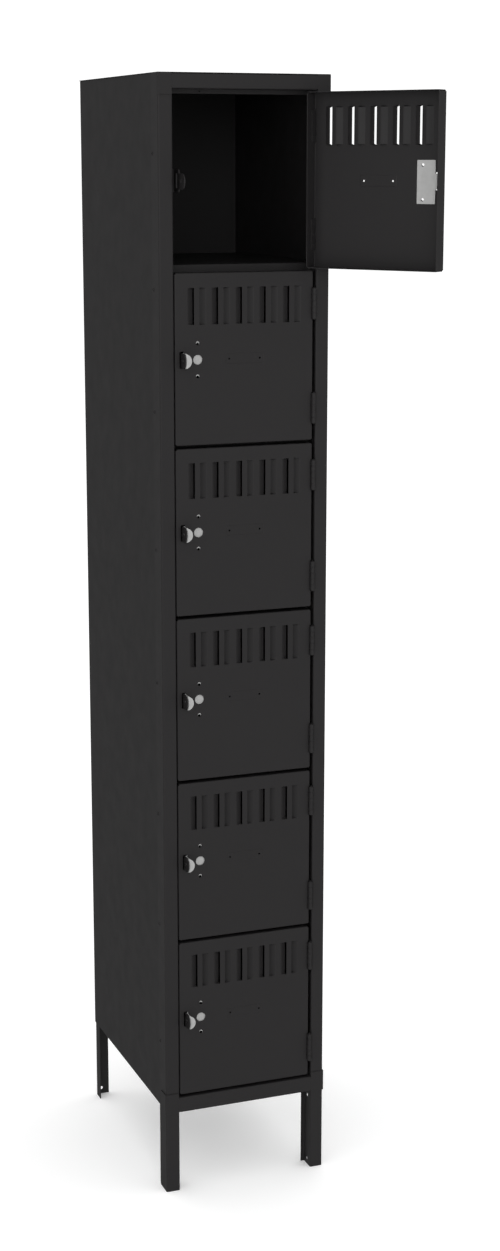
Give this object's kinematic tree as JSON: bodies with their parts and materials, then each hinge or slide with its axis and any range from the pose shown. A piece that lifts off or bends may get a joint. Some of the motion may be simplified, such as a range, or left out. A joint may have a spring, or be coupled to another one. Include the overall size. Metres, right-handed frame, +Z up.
{
  "type": "locker cabinet",
  "caption": "Tall narrow steel box locker on legs, its stacked compartments closed by louvered hinged doors with padlock staples; the top door stands open.",
  "frame": {"origin": "on the floor at the front left corner of the cabinet, where the left upright's front and outer side planes meet its foot", "axes": "+X right along the front, +Y towards the back, +Z up; the doors face -Y"},
  "size_m": [0.4292, 0.674, 1.9812],
  "materials": {
    "black_powder_coat": "semi-matt powder coat",
    "zinc_plated_steel": "zinc plated",
    "hinge_pin_steel": "painted over with the door"
  },
  "bodies": {
    "frame": {"left_upright": "black_powder_coat", "right_upright": "black_powder_coat", "rear_left_leg": "black_powder_coat", "rear_right_leg": "black_powder_coat", "left_side_panel": "black_powder_coat", "right_side_panel": "black_powder_coat", "back_panel": "black_powder_coat", "top_panel": "black_powder_coat", "top_cross_member": "black_powder_coat", "base_cross_member": "black_powder_coat", "bottom_shelf": "black_powder_coat", "shelf_1": "black_powder_coat", "shelf_2": "black_powder_coat", "shelf_3": "black_powder_coat", "shelf_4": "black_powder_coat", "shelf_5": "black_powder_coat", "padlock_staple_1": "black_powder_coat", "padlock_staple_2": "black_powder_coat", "padlock_staple_3": "black_powder_coat", "padlock_staple_4": "black_powder_coat", "padlock_staple_5": "black_powder_coat", "padlock_staple_6": "black_powder_coat"},
    "door_1": {"door_1_panel": "black_powder_coat", "door_1_catch_plate": "zinc_plated_steel", "door_1_upper_hinge_leaf": "black_powder_coat", "door_1_lower_hinge_leaf": "black_powder_coat", "door_1_upper_hinge_pin": "hinge_pin_steel", "door_1_lower_hinge_pin": "hinge_pin_steel"},
    "door_2": {"door_2_panel": "black_powder_coat", "door_2_catch_plate": "zinc_plated_steel", "door_2_upper_hinge_leaf": "black_powder_coat", "door_2_lower_hinge_leaf": "black_powder_coat", "door_2_upper_hinge_pin": "hinge_pin_steel", "door_2_lower_hinge_pin": "hinge_pin_steel"},
    "door_3": {"door_3_panel": "black_powder_coat", "door_3_catch_plate": "zinc_plated_steel", "door_3_upper_hinge_leaf": "black_powder_coat", "door_3_lower_hinge_leaf": "black_powder_coat", "door_3_upper_hinge_pin": "hinge_pin_steel", "door_3_lower_hinge_pin": "hinge_pin_steel"},
    "door_4": {"door_4_panel": "black_powder_coat", "door_4_catch_plate": "zinc_plated_steel", "door_4_upper_hinge_leaf": "black_powder_coat", "door_4_lower_hinge_leaf": "black_powder_coat", "door_4_upper_hinge_pin": "hinge_pin_steel", "door_4_lower_hinge_pin": "hinge_pin_steel"},
    "door_5": {"door_5_panel": "black_powder_coat", "door_5_catch_plate": "zinc_plated_steel", "door_5_upper_hinge_leaf": "black_powder_coat", "door_5_lower_hinge_leaf": "black_powder_coat", "door_5_upper_hinge_pin": "hinge_pin_steel", "door_5_lower_hinge_pin": "hinge_pin_steel"},
    "door_6": {"door_6_panel": "black_powder_coat", "door_6_catch_plate": "zinc_plated_steel", "door_6_upper_hinge_leaf": "black_powder_coat", "door_6_lower_hinge_leaf": "black_powder_coat", "door_6_upper_hinge_pin": "hinge_pin_steel", "door_6_lower_hinge_pin": "hinge_pin_steel"}
  },
  "joints": [
    {"name": "door_1_hinge", "type": "hinge", "parent": "frame", "child": "door_1", "pos_m": [0.278, -0.003, 1.8069], "axis": [0, 0, 1], "range_deg": [-125.4, 54.6]},
    {"name": "door_2_hinge", "type": "hinge", "parent": "frame", "child": "door_2", "pos_m": [0.278, -0.003, 1.5118], "axis": [0, 0, 1], "range_deg": [0, 180]},
    {"name": "door_3_hinge", "type": "hinge", "parent": "frame", "child": "door_3", "pos_m": [0.278, -0.003, 1.2167], "axis": [0, 0, 1], "range_deg": [0, 180]},
    {"name": "door_4_hinge", "type": "hinge", "parent": "frame", "child": "door_4", "pos_m": [0.278, -0.003, 0.9216], "axis": [0, 0, 1], "range_deg": [0, 180]},
    {"name": "door_5_hinge", "type": "hinge", "parent": "frame", "child": "door_5", "pos_m": [0.278, -0.003, 0.6265], "axis": [0, 0, 1], "range_deg": [0, 180]},
    {"name": "door_6_hinge", "type": "hinge", "parent": "frame", "child": "door_6", "pos_m": [0.278, -0.003, 0.3314], "axis": [0, 0, 1], "range_deg": [0, 180]}
  ]
}
